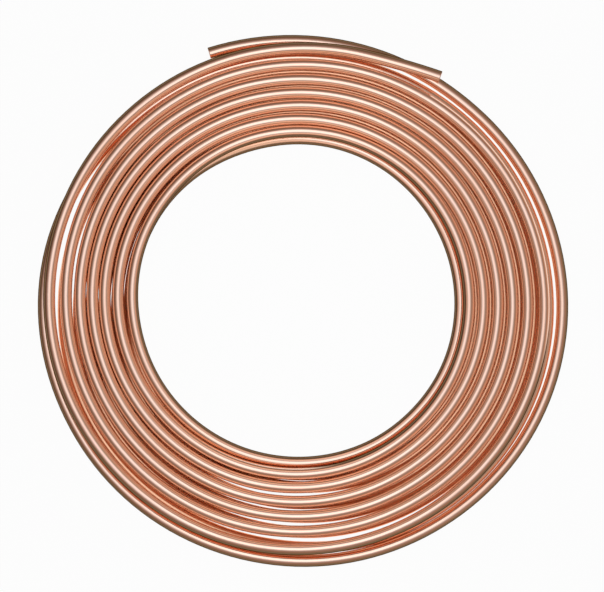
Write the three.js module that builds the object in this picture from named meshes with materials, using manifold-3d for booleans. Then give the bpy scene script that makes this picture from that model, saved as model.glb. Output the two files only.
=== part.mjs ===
// Copper tube coil: one length of soft copper tube, wound flat in two layers.
//
// The tube starts at the right-hand free end, winds inwards through the upper layer, drops to the
// lower layer at the bore of the coil, and winds outwards to the left-hand free end. The turns of
// each layer lie against each other, so a layer is one turned body: a section with one arch for
// each turn, revolved once while every arch moves on to the place of its neighbour. The crossover
// and the two free ends leave the layers as round tube.
//
// Millimetres, +Z up. The coil lies flat, its axis is Z, and the floor is Z = 0.

import * as THREE from 'three';
import { mergeVertices } from 'three/addons/utils/BufferGeometryUtils.js';
import Module from 'manifold-3d';

// The tube: 3/8 inch soft copper.
const TUBE_OUTER_DIAMETER = 9.525;
const TUBE_WALL = 0.81;
const TUBE_RADIUS = TUBE_OUTER_DIAMETER / 2;
const BORE_RADIUS = TUBE_RADIUS - TUBE_WALL;

// The two layers touch. The upper one is set this far into the lower, so that they are one solid.
const LAYER_CONTACT = 0.05;
const LAYER_RISE = TUBE_OUTER_DIAMETER - LAYER_CONTACT;

// A place along the tube is its winding: turns counted from the +X direction, anticlockwise as
// seen from above. A turn has a whole number of steps, and each layer starts and ends at the seam.
// The coil is built with the seam along +X, where its faces meet exactly, and then turned.
const STEPS_PER_TURN = 48;
const SEAM_STEP = 10;
const SEAM = SEAM_STEP / STEPS_PER_TURN;
const UPPER_TURNS = 6;
const LOWER_TURNS = 7;
const LOWER_LAYER_START = 7;
const RIGHT_END = 58.3 / 360;
const LEFT_END = LOWER_LAYER_START + LOWER_TURNS + 110.4 / 360;

// The tube drops from the upper layer to the lower one between these windings.
const DROP_START = 6.56;
const DROP_LENGTH = 0.28;

// Where the hand-wound tube stands off its layer's even spiral, outwards or, if the height is
// negative, inwards. The largest bulges are the crossover and the lower layer's last two turns.
const BULGES = [
  { middle: 0.2, halfLength: 0.08, height: 0.35 },
  { middle: 0.71, halfLength: 0.15, height: 1 },
  { middle: 1.53, halfLength: 0.14, height: -1.1 },
  { middle: 2.52, halfLength: 0.17, height: -0.9 },
  { middle: 3.56, halfLength: 0.15, height: -0.6 },
  { middle: 4.18, halfLength: 0.13, height: 0.7 },
  { middle: 5.83, halfLength: 0.32, height: 1.5 },
  { middle: 6.18, halfLength: 0.25, height: 1.85 },
  { middle: 6.7, halfLength: 0.2, height: 3.8 },
  { middle: 7, halfLength: 0.55, height: -1.1 },
  { middle: 8.73, halfLength: 0.13, height: -1.35 },
  { middle: 12.44, halfLength: 0.07, height: 1.2 },
  { middle: 12.48, halfLength: 0.57, height: 1.9 },
  { middle: 12.76, halfLength: 0.1, height: 1.3 },
  { middle: 13.47, halfLength: 0.12, height: 2.7 },
  { middle: 13.48, halfLength: 0.38, height: 5.4 },
  { middle: 13.88, halfLength: 0.14, height: -1.4 },
];

// On one side the innermost lower turn lies further out. It pushes the next turns outwards too,
// each one a little less than the one before, and over a shorter length.
const PUSHED_TURNS = 5;
const PUSH_MIDDLE = 7.395;
const PUSH_HALF_LENGTH = 0.12;
const PUSH_HALF_LENGTH_STEP = 0.01;
const PUSH_HEIGHT = 2.5;
const PUSH_HEIGHT_STEP = 0.3;
for (let turn = 0; turn < PUSHED_TURNS; turn += 1) {
  BULGES.push({
    middle: PUSH_MIDDLE + turn,
    halfLength: PUSH_HALF_LENGTH - PUSH_HALF_LENGTH_STEP * turn,
    height: PUSH_HEIGHT - PUSH_HEIGHT_STEP * turn,
  });
}

// How far each free end springs outwards from its layer, and where it starts to.
const RIGHT_END_FLARE = 6.9;
const RIGHT_FLARE_END = 76 / 360;
const RIGHT_FLARE_POWER = 2;
const LEFT_END_FLARE = 8.9;
const LEFT_FLARE_START = LOWER_LAYER_START + LOWER_TURNS + 48 / 360;
const LEFT_FLARE_POWER = 1.5;

// Facets round the tube, with flats on top, below and at the sides.
const SIDE_ANGLE = 30;
const HALF_SIDE_ANGLE = SIDE_ANGLE / 2;
const FREE_END_STEPS = 8;
const FREE_END_OVERLAP = 0.5 / 360;

// In a layer's section the arches stand this far apart, before they are moved to their windings.
const ARCH_SPACING = 2 * TUBE_OUTER_DIAMETER;

// Vertices are placed on a grid this fine, so that the faces of two bodies meet exactly.
const GRID = 1e-3;

// The axis that the windings are measured from, with the whole coil centred on the origin.
const COIL_AXIS_X = -1.1;
const COIL_AXIS_Y = -0.98;

const COPPER_COLOUR = 0xc98a68;

function snap(length) {
  return Math.round(length / GRID) * GRID;
}

function smoothStep(from, length, value) {
  const part = THREE.MathUtils.clamp((value - from) / length, 0, 1);
  return part * part * (3 - 2 * part);
}

// A smooth rise and fall of height 1, from 0 at halfLength before the middle to 0 after it.
function bump(middle, halfLength, winding) {
  const part = THREE.MathUtils.clamp((winding - middle) / halfLength, -1, 1);
  return (1 + Math.cos(part * Math.PI)) / 2;
}

// The upper layer winds inwards. Its turns get closer towards the bore, their centre drifts
// to one side, and every turn is slightly oval.
function upperRadius(winding) {
  const turns = winding - 0.25;
  const angle = winding * 2 * Math.PI;
  const spiral = 201.72 - 14.21 * turns + 0.937 * turns ** 2 - 0.086 * turns ** 3;
  const offsetX = -0.2 - 0.68 * turns;
  const offsetY = -0.54 + 0.54 * turns;
  const oval = 0.75 * Math.cos(2 * angle) - 0.39 * Math.sin(2 * angle);
  return spiral + offsetX * Math.cos(angle) + offsetY * Math.sin(angle) + oval;
}

// The lower layer winds outwards, with an even pitch. It is slightly oval and three-cornered.
function lowerRadius(winding) {
  const turns = winding - LOWER_LAYER_START;
  const angle = winding * 2 * Math.PI;
  const spiral = 128.2 + 10.7 * turns;
  const offsetX = -1.8 + 0.65 * turns;
  const offsetY = -0.95 - 0.5 * turns;
  const oval = 0.5 * Math.cos(2 * angle);
  const corners = -0.3 * Math.cos(3 * angle) - 0.65 * Math.sin(3 * angle);
  return spiral + offsetX * Math.cos(angle) + offsetY * Math.sin(angle) + oval + corners;
}

function freeEndFlare(winding) {
  const rightPart = Math.max(0, (RIGHT_FLARE_END - winding) / (RIGHT_FLARE_END - RIGHT_END));
  const leftPart = Math.max(0, (winding - LEFT_FLARE_START) / (LEFT_END - LEFT_FLARE_START));
  return RIGHT_END_FLARE * rightPart ** RIGHT_FLARE_POWER + LEFT_END_FLARE * leftPart ** LEFT_FLARE_POWER;
}

// Where the tube's axis is at a winding, as its distance from the coil's axis and its height.
function tubeAxis(winding) {
  const drop = smoothStep(DROP_START, DROP_LENGTH, winding);
  let radius = upperRadius(winding) * (1 - drop) + lowerRadius(winding) * drop;
  for (const bulge of BULGES) {
    radius += bulge.height * bump(bulge.middle, bulge.halfLength, winding);
  }
  return {
    radius: radius + freeEndFlare(winding),
    height: TUBE_RADIUS + LAYER_RISE * (1 - drop),
  };
}

// Points on the tube's outline, at angles from the top of the tube, towards the coil's bore.
function outline(fromAngle, toAngle, centreX = 0) {
  const points = [];
  for (let degrees = fromAngle; degrees <= toAngle; degrees += SIDE_ANGLE) {
    const angle = THREE.MathUtils.degToRad(degrees);
    const flat = Math.cos(THREE.MathUtils.degToRad(HALF_SIDE_ANGLE));
    const x = centreX + TUBE_RADIUS * Math.sin(angle);
    points.push(new THREE.Vector2(x, TUBE_RADIUS * Math.cos(angle) / flat));
  }
  return points;
}

// One arch for each turn, outermost first. The first and last arch are round down to where they
// touch the other layer, and side is 1 with the arches up, or -1 with the arches down.
function layerSection(turns, side) {
  const points = [];
  for (let turn = 0; turn < turns; turn += 1) {
    const from = turn === 0 ? HALF_SIDE_ANGLE - 180 : HALF_SIDE_ANGLE - 90;
    const to = turn === turns - 1 ? 180 - HALF_SIDE_ANGLE : 90 - HALF_SIDE_ANGLE;
    points.push(...outline(from, to, turn * ARCH_SPACING));
  }
  return new THREE.Shape(points.map((point) => new THREE.Vector2(point.x, point.y * side)));
}

// Extrudes a section and bends it round the coil's axis. Z becomes the step round the turn, and
// X, inwards, the place across the arches. windingStep gives an arch's place along the tube.
function revolve(section, firstStep, steps, windingStep) {
  const geometry = new THREE.ExtrudeGeometry(section, { depth: steps, steps, bevelEnabled: false });
  const position = geometry.attributes.position;
  for (let index = 0; index < position.count; index += 1) {
    const step = firstStep + Math.round(position.getZ(index));
    const arch = Math.round(position.getX(index) / ARCH_SPACING);
    const axis = tubeAxis(windingStep(arch, step) / STEPS_PER_TURN);
    const angle = ((step - SEAM_STEP) % STEPS_PER_TURN) * 2 * Math.PI / STEPS_PER_TURN;
    const radius = axis.radius - (position.getX(index) - arch * ARCH_SPACING);
    const height = axis.height + position.getY(index);
    position.setXYZ(index, snap(radius * Math.cos(angle)), snap(radius * Math.sin(angle)), snap(height));
  }
  return geometry;
}

// The tube's axis between two windings, as a curve for the free ends.
class TubeCurve extends THREE.Curve {
  constructor(from, to) {
    super();
    this.from = from;
    this.to = to;
  }

  getPoint(part, target = new THREE.Vector3()) {
    const winding = THREE.MathUtils.lerp(this.from, this.to, part);
    const axis = tubeAxis(winding);
    const angle = (winding - SEAM) * 2 * Math.PI;
    return target.set(axis.radius * Math.cos(angle), axis.radius * Math.sin(angle), axis.height);
  }
}

const wasm = await Module();
wasm.setup();

function toSolid(geometry) {
  geometry.deleteAttribute('normal');
  geometry.deleteAttribute('uv');
  const merged = mergeVertices(geometry, GRID / 2);
  return new wasm.Manifold(new wasm.Mesh({
    numProp: 3,
    vertProperties: new Float32Array(merged.attributes.position.array),
    triVerts: new Uint32Array(merged.index.array),
  }));
}

function toGeometry(solid) {
  const mesh = solid.getMesh();
  const geometry = new THREE.BufferGeometry();
  geometry.setAttribute('position', new THREE.BufferAttribute(mesh.vertProperties, 3));
  geometry.setIndex(new THREE.BufferAttribute(mesh.triVerts, 1));
  return geometry;
}

// A layer is revolved in two halves, which meet face to face. At the seam every arch of the
// second half meets the next arch of the first.
function layer(turns, side, windingStep) {
  const section = layerSection(turns, side);
  const half = STEPS_PER_TURN / 2;
  const first = toSolid(revolve(section, SEAM_STEP, half, windingStep));
  const second = toSolid(revolve(section, SEAM_STEP + half, half, windingStep));
  return first.add(second);
}

function upperLayer() {
  return layer(UPPER_TURNS, 1, (arch, step) => step + arch * STEPS_PER_TURN);
}

function lowerLayer() {
  const outermost = LOWER_LAYER_START + LOWER_TURNS - 1;
  return layer(LOWER_TURNS, -1, (arch, step) => step + (outermost - arch) * STEPS_PER_TURN);
}

// The last turn of the upper layer leaves it, drops at the bore and starts the lower layer.
function crossover() {
  const section = new THREE.Shape(outline(HALF_SIDE_ANGLE - 180, 180 - HALF_SIDE_ANGLE));
  const firstStep = SEAM_STEP + UPPER_TURNS * STEPS_PER_TURN;
  return toSolid(revolve(section, firstStep, STEPS_PER_TURN, (arch, step) => step));
}

// A free end is open tube, cut off square.
function freeEnd(from, to) {
  const wall = outline(HALF_SIDE_ANGLE - 180, 180 - HALF_SIDE_ANGLE);
  const bore = wall.map((point) => point.clone().multiplyScalar(BORE_RADIUS / TUBE_RADIUS));
  const section = new THREE.Shape(wall);
  section.holes.push(new THREE.Path(bore.reverse()));
  return toSolid(new THREE.ExtrudeGeometry(section, {
    steps: FREE_END_STEPS,
    extrudePath: new TubeCurve(from, to),
  }));
}

function coil() {
  const leftEndSeam = LOWER_LAYER_START + LOWER_TURNS + SEAM;
  return upperLayer()
    .add(lowerLayer())
    .add(crossover())
    .add(freeEnd(RIGHT_END, SEAM + FREE_END_OVERLAP))
    .add(freeEnd(leftEndSeam - FREE_END_OVERLAP, LEFT_END));
}

const geometry = toGeometry(coil());
geometry.rotateZ(SEAM * 2 * Math.PI);
geometry.translate(COIL_AXIS_X, COIL_AXIS_Y, 0);

const tube = new THREE.Mesh(geometry, new THREE.MeshStandardMaterial({
  color: COPPER_COLOUR,
  roughness: 0.3,
  metalness: 1,
}));
tube.name = 'copper_tube_coil';

const group = new THREE.Group();
group.add(tube);

export default group;
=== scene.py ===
"""Copper tube coil: one length of soft copper tube, wound flat in two layers.

The tube is modelled along its whole length, with its wall, its bore and its two cut ends, and
stands for the CAD node of the coil. Lengths are in metres, in the frame of the CAD model.
"""

import math

import bpy
import numpy as np
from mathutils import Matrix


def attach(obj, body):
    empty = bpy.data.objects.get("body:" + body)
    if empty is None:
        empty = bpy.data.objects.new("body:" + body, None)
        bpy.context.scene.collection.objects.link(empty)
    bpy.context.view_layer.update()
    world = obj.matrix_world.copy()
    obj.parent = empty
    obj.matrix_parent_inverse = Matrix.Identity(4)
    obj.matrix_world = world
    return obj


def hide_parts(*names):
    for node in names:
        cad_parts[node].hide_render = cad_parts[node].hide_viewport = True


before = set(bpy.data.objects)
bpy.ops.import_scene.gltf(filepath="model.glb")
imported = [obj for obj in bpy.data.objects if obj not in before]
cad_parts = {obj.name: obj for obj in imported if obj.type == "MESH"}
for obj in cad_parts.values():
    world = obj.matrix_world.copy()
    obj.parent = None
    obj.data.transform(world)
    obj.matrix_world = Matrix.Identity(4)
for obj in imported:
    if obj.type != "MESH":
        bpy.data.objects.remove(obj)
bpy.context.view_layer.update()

NODE = "copper_tube_coil"
BODY = "root"

MM = 0.001

# The tube: 3/8 inch soft copper, as in the CAD model. The two layers touch, and the upper one is
# set a little way into the lower one.
TUBE_RADIUS = 9.525 * MM / 2
TUBE_WALL = 0.81 * MM
BORE_RADIUS = TUBE_RADIUS - TUBE_WALL
LAYER_CONTACT = 0.05 * MM
LAYER_RISE = 2 * TUBE_RADIUS - LAYER_CONTACT

# A place along the tube is its winding: turns counted from +X, anticlockwise from above. The tube
# drops from the upper layer to the lower one over DROP_LENGTH.
LOWER_LAYER_START = 7
LOWER_TURNS = 7
RIGHT_END = 58.3 / 360
LEFT_END = LOWER_LAYER_START + LOWER_TURNS + 110.4 / 360
DROP_START = 6.56
DROP_LENGTH = 0.28

# Each layer's spiral, in mm. The radius and the two parts of the centre are sums of powers of the
# turns since the start: the first number is the value there, and the next ones go with the turns,
# their square and their cube. Waves make the turns a little out of round: each is the number of
# waves in a turn, and their cosine and sine parts.
UPPER_SPIRAL = {
    "start": 0.25,
    "radius": [201.72, -14.21, 0.937, -0.086],
    "centre_x": [-0.2, -0.68],
    "centre_y": [-0.54, 0.54],
    "waves": [(2, 0.75, -0.39)],
}
LOWER_SPIRAL = {
    "start": LOWER_LAYER_START,
    "radius": [128.2, 10.7],
    "centre_x": [-1.8, 0.65],
    "centre_y": [-0.95, -0.5],
    "waves": [(2, 0.5, 0), (3, -0.3, -0.65)],
}

# Where the tube stands off its layer's even spiral: middle and half length in turns, and height in
# mm, outwards or, if it is negative, inwards.
BULGES = [
    (0.2, 0.08, 0.35),
    (0.71, 0.15, 1),
    (1.53, 0.14, -1.1),
    (2.52, 0.17, -0.9),
    (3.56, 0.15, -0.6),
    (4.18, 0.13, 0.7),
    (5.83, 0.32, 1.5),
    (6.18, 0.25, 1.85),
    (6.7, 0.2, 3.8),
    (7, 0.55, -1.1),
    (8.73, 0.13, -1.35),
    (9.73, 0.08, 0.5),
    (11.76, 0.09, 0.7),
    (12.44, 0.07, 1.2),
    (12.48, 0.57, 1.9),
    (12.785, 0.07, 1),
    (13.47, 0.12, 2.7),
    (13.48, 0.38, 5.4),
    (13.88, 0.14, -1.4),
]

# On one side the innermost lower turn lies further out. It pushes the next turns outwards too,
# each one a little less than the one before, and over a shorter length.
PUSHED_TURNS = 5
PUSH_MIDDLE = 7.395
PUSH_HALF_LENGTH = 0.12
PUSH_HALF_LENGTH_STEP = 0.01
PUSH_HEIGHT = 2.5
PUSH_HEIGHT_STEP = 0.3
for turn in range(PUSHED_TURNS):
    half_length = PUSH_HALF_LENGTH - PUSH_HALF_LENGTH_STEP * turn
    height = PUSH_HEIGHT - PUSH_HEIGHT_STEP * turn
    BULGES.append((PUSH_MIDDLE + turn, half_length, height))

# How far each free end springs outwards from its layer, in mm, and where it starts to.
RIGHT_END_FLARE = 6.9
RIGHT_FLARE_END = 76 / 360
RIGHT_FLARE_POWER = 2
LEFT_END_FLARE = 8.9
LEFT_FLARE_START = LOWER_LAYER_START + LOWER_TURNS + 48 / 360
LEFT_FLARE_POWER = 1.5

# The coil's axis, from which the spirals are measured, in a frame centred on the whole outline.
COIL_AXIS = (-1.1 * MM, -0.98 * MM)

# The mesh. The bore has fewer sides, and the cut edges are rounded, as a tube cutter leaves them.
STEPS_PER_TURN = 150
OUTER_SIDES = 28
OUTER_SIDES_PER_BORE_SIDE = 2
BORE_SIDES = OUTER_SIDES // OUTER_SIDES_PER_BORE_SIDE
CUT_ROUNDING = 0.25 * MM
CUT_MARGIN = 0.9 * MM

# What the mesh tells the material: a point's place on the tube, how far it faces open ground,
# where a dark reflection of the ground is painted, and whether other turns lie on it, where a
# reflection of the copper round them is painted.
SURFACE_PLACE = "surface_place"
OPEN_SIDE = "open_side"
COVERED = "covered"

# The turns with nothing outside them, and the turns with nothing but the empty centre inside.
# The stretches fade in and out, and run on past the free ends so that they don't fade there. On
# the upper layer the open sides end a share of the tube's radius below its middle.
STRETCH_FADE = 0.12
PAST_FREE_END = 0.2
UNDERSIDE_FADE = 0.5
OPEN_OUTWARDS = [(RIGHT_END - PAST_FREE_END, 1.05), (13.15, LEFT_END + PAST_FREE_END)]
OPEN_INWARDS = [(5.69, 7.65)]
COVERED_TURNS = [(7.2, 13.2)]


def smooth_step(start, length, value):
    """0 up to the start and 1 from the length after it, with a smooth rise between them."""
    part = np.clip((value - start) / length, 0, 1)
    return part * part * (3 - 2 * part)


def bump(middle, half_length, winding):
    """A smooth rise and fall of height 1, over half_length on each side of the middle."""
    part = np.clip((winding - middle) / half_length, -1, 1)
    return (1 + np.cos(part * math.pi)) / 2


def power_sum(factors, turns):
    """The first factor, the second times the turns, the third times their square, and so on."""
    return sum(factor * turns**power for power, factor in enumerate(factors))


def spiral_radius(spiral, winding):
    """How far a layer's even spiral is from the coil's axis, in mm."""
    turns = winding - spiral["start"]
    angle = winding * 2 * math.pi
    radius = power_sum(spiral["radius"], turns)
    radius = radius + power_sum(spiral["centre_x"], turns) * np.cos(angle)
    radius = radius + power_sum(spiral["centre_y"], turns) * np.sin(angle)
    for waves, cosine_part, sine_part in spiral["waves"]:
        radius = radius + cosine_part * np.cos(waves * angle) + sine_part * np.sin(waves * angle)
    return radius


def free_end_flare(winding):
    """How far the tube springs outwards near its free ends, in mm."""
    right_part = np.clip((RIGHT_FLARE_END - winding) / (RIGHT_FLARE_END - RIGHT_END), 0, None)
    left_part = np.clip((winding - LEFT_FLARE_START) / (LEFT_END - LEFT_FLARE_START), 0, None)
    right_flare = RIGHT_END_FLARE * right_part**RIGHT_FLARE_POWER
    left_flare = LEFT_END_FLARE * left_part**LEFT_FLARE_POWER
    return right_flare + left_flare


def tube_axis(winding):
    """Points on the tube's axis, one for each winding."""
    drop = smooth_step(DROP_START, DROP_LENGTH, winding)
    upper_radius = spiral_radius(UPPER_SPIRAL, winding)
    lower_radius = spiral_radius(LOWER_SPIRAL, winding)
    radius = upper_radius * (1 - drop) + lower_radius * drop
    for middle, half_length, height in BULGES:
        radius = radius + height * bump(middle, half_length, winding)
    radius = (radius + free_end_flare(winding)) * MM
    angle = winding * 2 * math.pi
    return np.stack(
        [
            COIL_AXIS[0] + radius * np.cos(angle),
            COIL_AXIS[1] + radius * np.sin(angle),
            TUBE_RADIUS + LAYER_RISE * (1 - drop),
        ],
        axis=1,
    )


def directions(axis):
    """At each point on the axis, the ways along the tube, up across it and out from the coil."""
    tangent = np.gradient(axis, axis=0)
    tangent /= np.linalg.norm(tangent, axis=1, keepdims=True)
    out = np.cross(tangent, (0, 0, 1))
    out /= np.linalg.norm(out, axis=1, keepdims=True)
    return tangent, np.cross(out, tangent), out


def tube_rings():
    """Each ring of the mesh: its winding, its middle, and the ways up and out from there."""
    count = int((LEFT_END - RIGHT_END) * STEPS_PER_TURN) + 1
    winding = np.linspace(RIGHT_END, LEFT_END, count)
    axis = tube_axis(winding)
    tangent, up, out = directions(axis)
    # Two more at each end, where the rounding of the cut's edge begins and a little further in.
    first = [axis[0] + inset * tangent[0] for inset in (CUT_ROUNDING, CUT_MARGIN)]
    last = [axis[-1] - inset * tangent[-1] for inset in (CUT_MARGIN, CUT_ROUNDING)]
    places = [1, 1, count - 1, count - 1]
    ends = [0, 0, -1, -1]
    axis = np.insert(axis, places, first + last, axis=0)
    winding = np.insert(winding, places, winding[ends])
    up = np.insert(up, places, up[ends], axis=0)
    out = np.insert(out, places, out[ends], axis=0)
    return winding, axis, up, out


def round_angles(sides):
    """The angle of each point round the tube, from its top."""
    return np.arange(sides) * 2 * math.pi / sides


def ring_points(axis, up, out, radius, sides):
    """Rings of points round the axis, the first point of each on top of the tube."""
    turn = round_angles(sides)
    ring = up[:, None] * np.cos(turn)[None, :, None] + out[:, None] * np.sin(turn)[None, :, None]
    return axis[:, None] + radius[:, None, None] * ring


def wall_faces(first, count, sides, inwards):
    """Quads between consecutive rings. The first ring starts at vertex first."""
    faces = []
    for ring in range(count - 1):
        for side in range(sides):
            a = first + ring * sides + side
            b = first + ring * sides + (side + 1) % sides
            quad = (a, b, b + sides, a + sides)
            faces.append(quad[::-1] if inwards else quad)
    return faces


def cut_faces(outer, bore, backwards):
    """The ring-shaped face of a cut end, between the rings that start at these two vertices."""
    steps = range(OUTER_SIDES_PER_BORE_SIDE + 1)
    faces = []
    for side in range(BORE_SIDES):
        first = OUTER_SIDES_PER_BORE_SIDE * side
        arc = [outer + (first + step) % OUTER_SIDES for step in steps]
        inner = [bore + (side + 1) % BORE_SIDES, bore + side]
        face = arc + inner
        faces.append(tuple(face[::-1] if backwards else face))
    return faces


def tube_mesh():
    """The outer wall, the bore and the two cut ends, with what the material needs to know."""
    winding, axis, up, out = tube_rings()
    count = len(winding)
    radius = np.full(count, TUBE_RADIUS)
    radius[[0, -1]] -= CUT_ROUNDING
    outer = ring_points(axis, up, out, radius, OUTER_SIDES)
    bore = ring_points(axis, up, out, np.full(count, BORE_RADIUS), BORE_SIDES)
    points = np.concatenate([outer.reshape(-1, 3), bore.reshape(-1, 3)])

    first_bore = count * OUTER_SIDES
    last_outer = first_bore - OUTER_SIDES
    last_bore = first_bore + (count - 1) * BORE_SIDES
    walls = wall_faces(0, count, OUTER_SIDES, False)
    walls += wall_faces(first_bore, count, BORE_SIDES, True)
    cuts = cut_faces(0, first_bore, True) + cut_faces(last_outer, last_bore, False)

    mesh = bpy.data.meshes.new("copper_tube")
    mesh.from_pydata(points.tolist(), [], walls + cuts)
    mesh.polygons.foreach_set("use_smooth", [True] * len(walls) + [False] * len(cuts))
    add_surface_place(mesh, axis)
    add_open_side(mesh, winding)
    add_covered(mesh, winding)
    return mesh


def add_surface_place(mesh, axis):
    """Where each point is on the tube, for the material: millimetres along it, and round it."""
    steps = np.linalg.norm(np.diff(axis, axis=0), axis=1)
    along = np.concatenate([[0], np.cumsum(steps)]) / MM
    place = []
    for sides in (OUTER_SIDES, BORE_SIDES):
        grid = np.empty((len(along), sides, 3))
        grid[..., 0] = along[:, None]
        grid[..., 1] = np.cos(round_angles(sides))
        grid[..., 2] = np.sin(round_angles(sides))
        place.append(grid.reshape(-1, 3))
    attribute = mesh.attributes.new(SURFACE_PLACE, "FLOAT_VECTOR", "POINT")
    attribute.data.foreach_set("vector", np.concatenate(place).ravel())


def within(stretches, winding):
    """1 within the stretches of winding, and 0 outside them, with soft ends."""
    share = np.zeros_like(winding)
    for start, end in stretches:
        fade_in = smooth_step(start, STRETCH_FADE, winding)
        fade_out = 1 - smooth_step(end - STRETCH_FADE, STRETCH_FADE, winding)
        share = np.maximum(share, fade_in * fade_out)
    return share


def add_open_side(mesh, winding):
    """How far each point faces open ground beside the coil: 1 is squarely, and 0 not at all."""
    turn = round_angles(OUTER_SIDES)
    facing_out = within(OPEN_OUTWARDS, winding)[:, None] * np.clip(np.sin(turn), 0, 1)
    facing_in = within(OPEN_INWARDS, winding)[:, None] * np.clip(-np.sin(turn), 0, 1)
    share = facing_out + facing_in
    # The undersides of the upper layer face the lower layer instead.
    share[winding < DROP_START] *= 1 - smooth_step(0, UNDERSIDE_FADE, -np.cos(turn))
    bore = np.zeros(len(winding) * BORE_SIDES)
    attribute = mesh.attributes.new(OPEN_SIDE, "FLOAT", "POINT")
    attribute.data.foreach_set("value", np.concatenate([share.ravel(), bore]))


def add_covered(mesh, winding):
    """1 on the turns that other turns lie on, and 0 elsewhere."""
    share = within(COVERED_TURNS, winding)
    values = np.concatenate([np.repeat(share, OUTER_SIDES), np.repeat(share, BORE_SIDES)])
    attribute = mesh.attributes.new(COVERED, "FLOAT", "POINT")
    attribute.data.foreach_set("value", values)


# The sockets of a Mix node's colours. Their names are those of its other sockets too.
MIX_SHARE = 0
MIX_BELOW = 6
MIX_ABOVE = 7
MIX_RESULT = 2

NOISE_ROUGHNESS = 0.65


def new_material(name):
    material = bpy.data.materials.new(name)
    material.use_nodes = True
    return material


def feed(tree, socket, value):
    """Links a socket to the value, where that is a socket, and otherwise sets it to the value."""
    if isinstance(value, bpy.types.NodeSocket):
        tree.links.new(value, socket)
    elif socket.type == "RGBA":
        socket.default_value = (*value, 1)
    else:
        socket.default_value = value


def add_attribute(tree, name):
    attribute = tree.nodes.new("ShaderNodeAttribute")
    attribute.attribute_name = name
    return attribute


def add_part(tree, vector, part):
    """The X, Y or Z of a vector."""
    parts = tree.nodes.new("ShaderNodeSeparateXYZ")
    feed(tree, parts.inputs[0], vector)
    return parts.outputs[part]


def add_math(tree, operation, *values):
    step = tree.nodes.new("ShaderNodeMath")
    step.operation = operation
    for socket, value in zip(step.inputs, values):
        feed(tree, socket, value)
    return step.outputs[0]


def add_vector_math(tree, operation, first, second):
    step = tree.nodes.new("ShaderNodeVectorMath")
    step.operation = operation
    feed(tree, step.inputs[0], first)
    feed(tree, step.inputs[1], second)
    return step


def add_noise(tree, vector, stretch, detail):
    """Noise on the vector, whose parts are multiplied by stretch first."""
    stretched = add_vector_math(tree, "MULTIPLY", vector, stretch)
    noise = tree.nodes.new("ShaderNodeTexNoise")
    noise.inputs["Scale"].default_value = 1
    noise.inputs["Detail"].default_value = detail
    noise.inputs["Roughness"].default_value = NOISE_ROUGHNESS
    feed(tree, noise.inputs["Vector"], stretched.outputs["Vector"])
    return noise.outputs["Fac"]


def add_range(tree, value, before, after, kind="SMOOTHSTEP"):
    """The value, with the range before it mapped to the range after it."""
    mapped = tree.nodes.new("ShaderNodeMapRange")
    mapped.interpolation_type = kind
    mapped.inputs["From Min"].default_value = before[0]
    mapped.inputs["From Max"].default_value = before[1]
    mapped.inputs["To Min"].default_value = after[0]
    mapped.inputs["To Max"].default_value = after[1]
    feed(tree, mapped.inputs["Value"], value)
    return mapped.outputs["Result"]


def add_ramp(tree, value, stops):
    """The colour for the value. Each stop is a position and a colour."""
    ramp = tree.nodes.new("ShaderNodeValToRGB")
    elements = ramp.color_ramp.elements
    for position, _ in stops[1:-1]:
        elements.new(position)
    for element, (position, colour) in zip(elements, stops):
        element.position = position
        element.color = (*colour, 1)
    feed(tree, ramp.inputs["Fac"], value)
    return ramp.outputs["Color"]


def add_mix(tree, share, below, above):
    """The colour below, with that share of the colour above over it."""
    mix = tree.nodes.new("ShaderNodeMix")
    mix.data_type = "RGBA"
    feed(tree, mix.inputs[MIX_SHARE], share)
    feed(tree, mix.inputs[MIX_BELOW], below)
    feed(tree, mix.inputs[MIX_ABOVE], above)
    return mix.outputs[MIX_RESULT]


# The colour is pale on each turn's crown, deep orange a little way down its flanks, and pale
# again where it faces sideways, between the turns. The pale crown is a painted highlight, and the
# orange flanks are a painted reflection of the copper round them. Each stop is how squarely the
# surface faces up or down, and a colour.
PAINTED_CROWN_AND_FLANK_TINTS = [
    (0, (0.97, 0.71, 0.57)),
    (0.62, (0.97, 0.7, 0.56)),
    (0.78, (0.94, 0.43, 0.25)),
    (0.9, (0.94, 0.43, 0.25)),
    (0.985, (0.97, 0.685, 0.575)),
]

# The colour of the turns that others lie on, a painted reflection of the copper round them, and the
# colour of what copper mirrors at a grazing angle.
COVERED_REFLECTION_TINT = (1, 0.57, 0.37)
EDGE_TINT = (1, 0.85, 0.7)

# Drawing the tube leaves fine lines along it, and handling and air dull it in patches. Each noise
# has its stretch along and round the tube, and its detail. PATCHES_EDGE is the noise where the
# patches start, and where they are full.
LINES_STRETCH = (0.045, 9, 9)
LINES_DETAIL = 4
PATCHES_STRETCH = (0.012, 1, 1)
PATCHES_DETAIL = 3
PATCHES_EDGE = (0.42, 0.68)
PATCH_TINT = (0.93, 0.5, 0.34)
PATCH_SHARE = 0.35

# On the sides that face open ground, a dark reflection of the ground is painted into the colour
# and into what copper mirrors at a grazing angle. Its edge is how far the surface faces open
# ground where the painted reflection starts, and where it is full.
GROUND_REFLECTION_EDGE = (0.42, 0.74)
GROUND_REFLECTION_TINT = (0.16, 0.095, 0.045)
GROUND_REFLECTION_GRAZING_TINT = (0.08, 0.07, 0.04)
GROUND_REFLECTION_SHARE = 0.94

# The lines go from the first roughness to the second between these two noises. Turns that others
# lie on are rougher by COVERED_ROUGHNESS.
LINES_NOISE = (0.3, 0.7)
LINES_ROUGHNESS = (0.1, 0.18)
COVERED_ROUGHNESS = 0.15
RELIEF_STRENGTH = 0.1
RELIEF_DEPTH = 0.05 * MM


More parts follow.
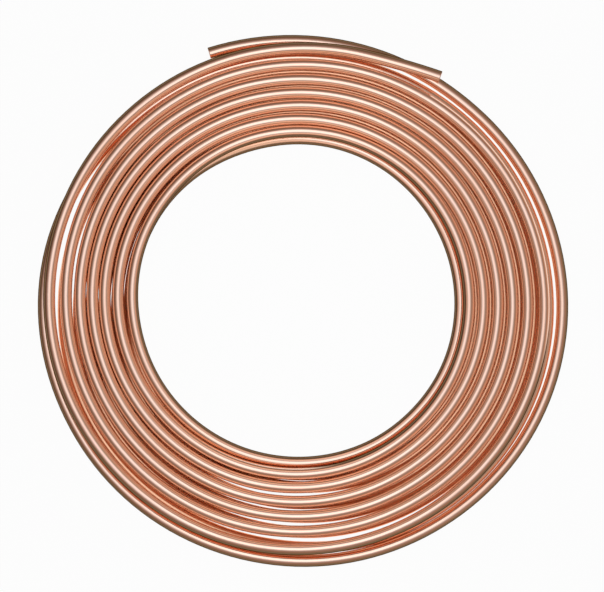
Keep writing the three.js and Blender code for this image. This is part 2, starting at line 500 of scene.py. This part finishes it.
def copper_tint(tree, place, covered, ground_reflection_share):
    """The copper's colour with its painted crown highlight and reflections, under the patches and
    the painted dark reflection of the ground.
    """
    squareness = add_math(tree, "ABSOLUTE", add_part(tree, place, "Y"))
    # A painted highlight on each crown and a painted reflection of the copper round it on the
    # flanks.
    painted_crown_and_flanks = add_ramp(tree, squareness, PAINTED_CROWN_AND_FLANK_TINTS)
    # A deeper painted reflection on the turns that others lie on.
    with_covered_reflection = add_mix(tree, covered, painted_crown_and_flanks, COVERED_REFLECTION_TINT)
    patches = add_noise(tree, place, PATCHES_STRETCH, PATCHES_DETAIL)
    patch_share = add_range(tree, patches, PATCHES_EDGE, (0, PATCH_SHARE))
    patched = add_mix(tree, patch_share, with_covered_reflection, PATCH_TINT)
    # Over it, the painted dark reflection of the ground on the sides that face it.
    return add_mix(tree, ground_reflection_share, patched, GROUND_REFLECTION_TINT)


def copper():
    material = new_material("copper")
    tree = material.node_tree
    place = add_attribute(tree, SURFACE_PLACE).outputs["Vector"]
    open_side = add_attribute(tree, OPEN_SIDE).outputs["Fac"]
    covered = add_attribute(tree, COVERED).outputs["Fac"]
    lines = add_noise(tree, place, LINES_STRETCH, LINES_DETAIL)
    # The painted dark reflection of the ground, in the colour and in what copper mirrors at a
    # grazing angle.
    ground_reflection_share = add_range(tree, open_side, GROUND_REFLECTION_EDGE, (0, GROUND_REFLECTION_SHARE))
    edge_tint = add_mix(tree, ground_reflection_share, EDGE_TINT, GROUND_REFLECTION_GRAZING_TINT)
    polish = add_range(tree, lines, LINES_NOISE, LINES_ROUGHNESS)
    roughness = add_math(tree, "MULTIPLY_ADD", covered, COVERED_ROUGHNESS, polish)
    relief = tree.nodes.new("ShaderNodeBump")
    relief.inputs["Strength"].default_value = RELIEF_STRENGTH
    relief.inputs["Distance"].default_value = RELIEF_DEPTH
    feed(tree, relief.inputs["Height"], lines)

    shader = tree.nodes["Principled BSDF"]
    shader.inputs["Metallic"].default_value = 1
    feed(tree, shader.inputs["Base Color"], copper_tint(tree, place, covered, ground_reflection_share))
    feed(tree, shader.inputs["Specular Tint"], edge_tint)
    feed(tree, shader.inputs["Roughness"], roughness)
    feed(tree, shader.inputs["Normal"], relief.outputs["Normal"])
    return material


def make_tube():
    tube = bpy.data.objects.new("copper_tube", tube_mesh())
    bpy.context.scene.collection.objects.link(tube)
    tube.data.materials.append(copper())
    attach(tube, BODY)
    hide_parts(NODE)


# The camera looks straight down. The photo is 604 x 592 pixels, a pixel is 0.79 mm where the two
# layers meet, and PHOTO_CENTRE is the pixel over the frame's origin.
IMAGE_WIDTH = 604
IMAGE_HEIGHT = 592
PIXEL = 0.79 * MM
PHOTO_CENTRE = (303.0, 300.8)
CAMERA_DISTANCE = 8.0
SENSOR = 36


def make_camera():
    data = bpy.data.cameras.new("camera")
    data.sensor_width = SENSOR
    data.lens = SENSOR * CAMERA_DISTANCE / (IMAGE_WIDTH * PIXEL)
    camera = bpy.data.objects.new("camera", data)
    x = (IMAGE_WIDTH / 2 - PHOTO_CENTRE[0]) * PIXEL
    y = (PHOTO_CENTRE[1] - IMAGE_HEIGHT / 2) * PIXEL
    camera.location = (x, y, CAMERA_DISTANCE + 2 * TUBE_RADIUS)
    bpy.context.scene.collection.objects.link(camera)
    bpy.context.scene.camera = camera


# The floor. Its glow is the share of plain white in it where it is seen.
FLOOR_SIZE = 16
FLOOR_COLOUR = (0.9, 0.9, 0.9)
FLOOR_ROUGHNESS = 0.9
FLOOR_GLOW = 0.96
WHITE = (1, 1, 1)


def add_seen(tree):
    """1 where a surface is seen, directly, mirrored or through glass, and 0 where it sheds light."""
    ray = tree.nodes.new("ShaderNodeLightPath")
    seen = add_math(tree, "MAXIMUM", ray.outputs["Is Camera Ray"], ray.outputs["Is Glossy Ray"])
    return add_math(tree, "MAXIMUM", seen, ray.outputs["Is Transmission Ray"])


def floor_material():
    """Pale and matt. Where it is seen it glows a little, which leaves it white."""
    material = new_material("floor")
    tree = material.node_tree
    matt = tree.nodes["Principled BSDF"]
    feed(tree, matt.inputs["Base Color"], FLOOR_COLOUR)
    feed(tree, matt.inputs["Roughness"], FLOOR_ROUGHNESS)
    glow = tree.nodes.new("ShaderNodeEmission")
    feed(tree, glow.inputs["Color"], WHITE)
    mix = tree.nodes.new("ShaderNodeMixShader")
    feed(tree, mix.inputs["Fac"], add_math(tree, "MULTIPLY", add_seen(tree), FLOOR_GLOW))
    feed(tree, mix.inputs[1], matt.outputs[0])
    feed(tree, mix.inputs[2], glow.outputs[0])
    feed(tree, tree.nodes["Material Output"].inputs["Surface"], mix.outputs[0])
    return material


def make_floor():
    bpy.ops.mesh.primitive_plane_add(size=FLOOR_SIZE, location=(0, 0, 0))
    floor = bpy.context.object
    floor.name = "floor"
    floor.data.materials.append(floor_material())


# The lamps: one over the far side of the coil, one over its near side, and a small one low in its
# middle. Each has a place, a size and its light.
LAMPS = [
    ("far_lamp", (0, 0.17, 0.27), (0.2, 0.2), 0.38),
    ("near_lamp", (0, -0.17, 0.27), (0.2, 0.2), 0.38),
    ("middle_lamp", (0, 0, 0.12), (0.12, 0.12), 0.25),
]


def make_lamps():
    for name, place, size, light in LAMPS:
        data = bpy.data.lights.new(name, "AREA")
        data.shape = "RECTANGLE"
        data.size, data.size_y = size
        data.energy = light * math.pi * data.size * data.size_y
        lamp = bpy.data.objects.new(name, data)
        lamp.location = place
        lamp.visible_camera = False
        bpy.context.scene.collection.objects.link(lamp)


# The light from each height of the sky: the sine of the height above the horizon, the light on
# the dark side and the light on the bright side, which is the way that BRIGHT_SIDE points.
SKY = [
    (0, 0.15, 0.6),
    (0.15, 0.13, 0.54),
    (0.35, 0.13, 0.42),
    (0.5, 0.14, 0.37),
    (0.65, 0.19, 0.32),
    (0.777, 0.31, 0.31),
    (0.87, 0.46, 0.46),
    (0.945, 0.66, 0.66),
    (0.975, 0.84, 0.84),
    (1, 0.98, 0.98),
]
SKY_STRENGTH = 1.15
BRIGHT_SIDE = (0.88, -0.47, 0)


def make_world():
    """A plain studio: light from above, falling off towards the horizon."""
    world = bpy.data.worlds.new("world")
    world.use_nodes = True
    tree = world.node_tree
    direction = tree.nodes.new("ShaderNodeTexCoord").outputs["Generated"]
    height = add_part(tree, direction, "Z")
    dark = add_ramp(tree, height, [(sine, (light,) * 3) for sine, light, _ in SKY])
    bright = add_ramp(tree, height, [(sine, (light,) * 3) for sine, _, light in SKY])
    side = add_vector_math(tree, "DOT_PRODUCT", direction, BRIGHT_SIDE).outputs["Value"]
    bright_share = add_range(tree, side, (-1, 1), (0, 1), "LINEAR")
    background = tree.nodes["Background"]
    background.inputs["Strength"].default_value = SKY_STRENGTH
    feed(tree, background.inputs["Color"], add_mix(tree, bright_share, dark, bright))
    bpy.context.scene.world = world


make_camera()
make_tube()
make_floor()
make_lamps()
make_world()

bpy.context.scene.view_settings.view_transform = "Standard"
